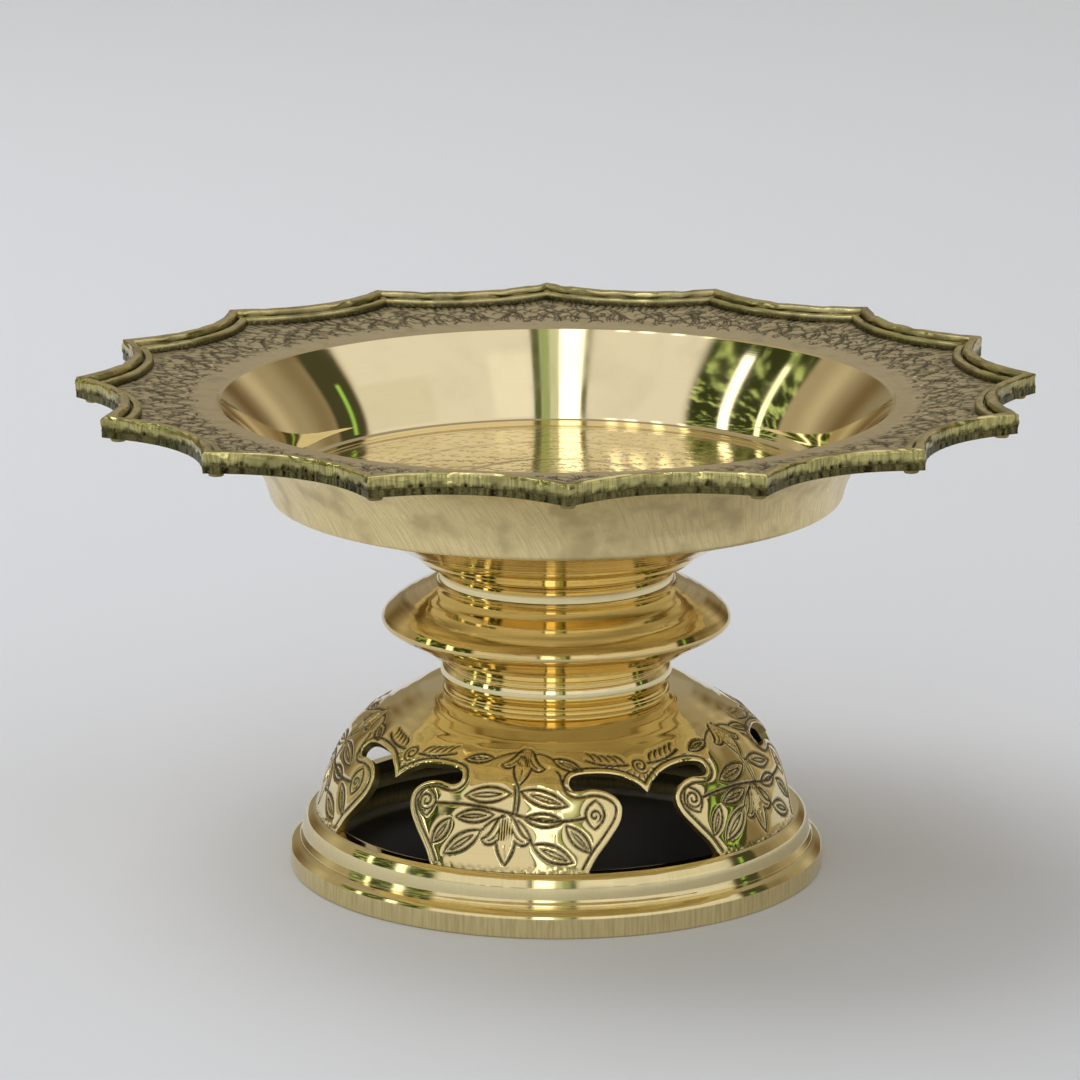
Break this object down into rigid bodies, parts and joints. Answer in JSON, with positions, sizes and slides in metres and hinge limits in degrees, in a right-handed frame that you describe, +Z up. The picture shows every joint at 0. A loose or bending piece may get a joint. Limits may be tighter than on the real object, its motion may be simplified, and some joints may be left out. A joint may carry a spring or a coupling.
{
  "type": "pedestal bowl",
  "caption": "Shallow brass offering bowl with a scalloped, pointed rim, on a turned stem and a domed base pierced with scrolls and chased with flowers.",
  "frame": {"origin": "centre of the face that the foot ring stands on", "axes": "+Z up along the axis that the bowl is turned on; -Y towards the front"},
  "size_m": [0.205, 0.205, 0.1075],
  "materials": {
    "satin_brass": "satin dish with a polished well and a dark, chased flange",
    "antique_brass": "filed edge with dark recesses and polished tops",
    "rivet_brass": "dull filed rivet tails",
    "deep_brass": "mirror polished, deep gold",
    "pale_brass": "mirror polished, pale gold",
    "chased_brass": "polished, with dark-filled chased flowers and leaves",
    "foot_brass": "polished steps over a brushed band",
    "fixing_brass": "dull machined brass"
  },
  "bodies": {
    "root": {"dish": "satin_brass", "rim_moulding": "antique_brass", "stem_flare": "deep_brass", "upper_collar": "pale_brass", "knop_disc": "deep_brass", "lower_collar": "pale_brass", "base_dome": "chased_brass", "foot_ring": "foot_brass", "tie_rod": "fixing_brass", "fixing_washer": "fixing_brass", "fixing_nut": "fixing_brass", "rim_rivet_01": "rivet_brass", "rim_rivet_02": "rivet_brass", "rim_rivet_03": "rivet_brass", "rim_rivet_04": "rivet_brass", "rim_rivet_05": "rivet_brass", "rim_rivet_06": "rivet_brass", "rim_rivet_07": "rivet_brass", "rim_rivet_08": "rivet_brass", "rim_rivet_09": "rivet_brass", "rim_rivet_10": "rivet_brass", "rim_rivet_11": "rivet_brass", "rim_rivet_12": "rivet_brass", "rim_rivet_13": "rivet_brass", "rim_rivet_14": "rivet_brass", "rim_rivet_15": "rivet_brass", "rim_rivet_16": "rivet_brass"}
  },
  "joints": []
}
